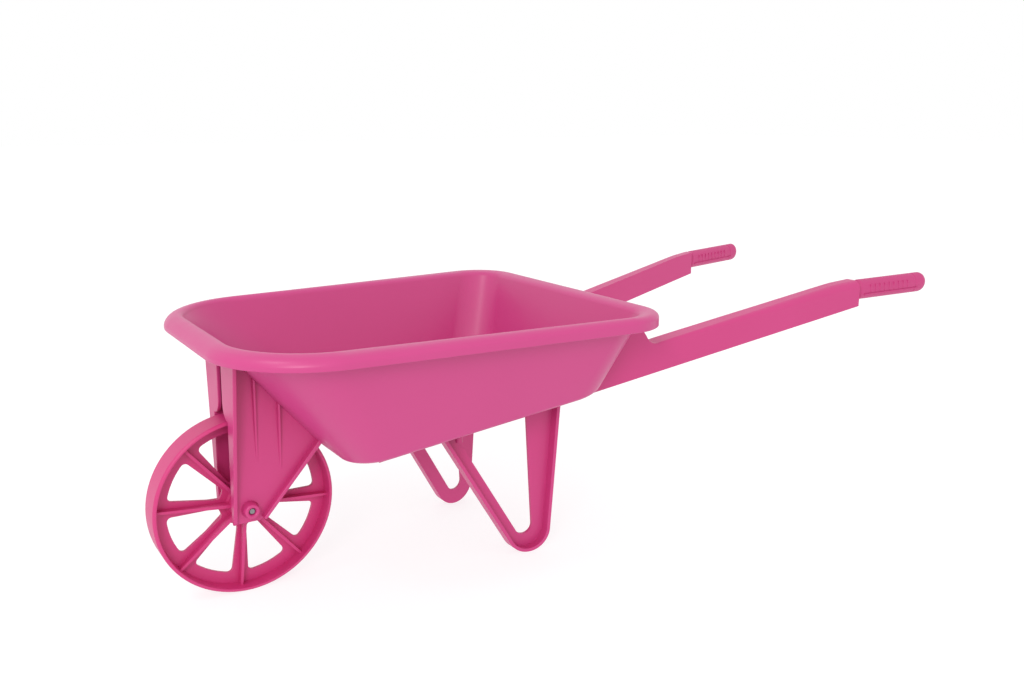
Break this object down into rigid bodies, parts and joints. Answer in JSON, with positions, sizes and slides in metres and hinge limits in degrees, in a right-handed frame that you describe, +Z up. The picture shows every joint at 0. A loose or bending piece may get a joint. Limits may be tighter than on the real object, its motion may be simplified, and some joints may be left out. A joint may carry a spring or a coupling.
{
  "type": "wheelbarrow",
  "caption": "Child's moulded wheelbarrow: deep tapered tub on two splayed side frames with V-shaped legs and long handles, and a spoked wheel in a front fork.",
  "frame": {"origin": "middle of the ground box: halfway along the length and the width, at ground level", "axes": "+X from the wheel to the handles, +Y to the pusher's right, +Z up"},
  "size_m": [0.7768, 0.3174, 0.2325],
  "materials": {
    "tub_plastic": "satin moulded plastic, pink",
    "frame_plastic": "satin moulded plastic, pink",
    "wheel_plastic": "satin moulded plastic, deeper pink",
    "grip_plastic": "fine-grained moulded plastic, pink",
    "axle_steel": "drawn rod",
    "fastener_steel": "plated"
  },
  "bodies": {
    "barrow": {"tub": "tub_plastic", "right_side_frame": "frame_plastic", "left_side_frame": "frame_plastic", "right_fork_bracket": "frame_plastic", "left_fork_bracket": "frame_plastic", "right_grip": "grip_plastic", "left_grip": "grip_plastic", "axle": "axle_steel", "right_axle_retainer": "fastener_steel", "left_axle_retainer": "fastener_steel", "right_rail_screw_1": "fastener_steel", "left_rail_screw_1": "fastener_steel", "right_rail_screw_2": "fastener_steel", "left_rail_screw_2": "fastener_steel", "right_rail_screw_3": "fastener_steel", "left_rail_screw_3": "fastener_steel", "right_fork_screw_1": "fastener_steel", "left_fork_screw_1": "fastener_steel", "right_fork_screw_2": "fastener_steel", "left_fork_screw_2": "fastener_steel"},
    "wheel": {"wheel": "wheel_plastic"}
  },
  "joints": [
    {"name": "wheel_spin", "type": "hinge", "parent": "barrow", "child": "wheel", "pos_m": [-0.31205, 0, 0.0764], "axis": [0, 1, 0], "continuous": true}
  ]
}
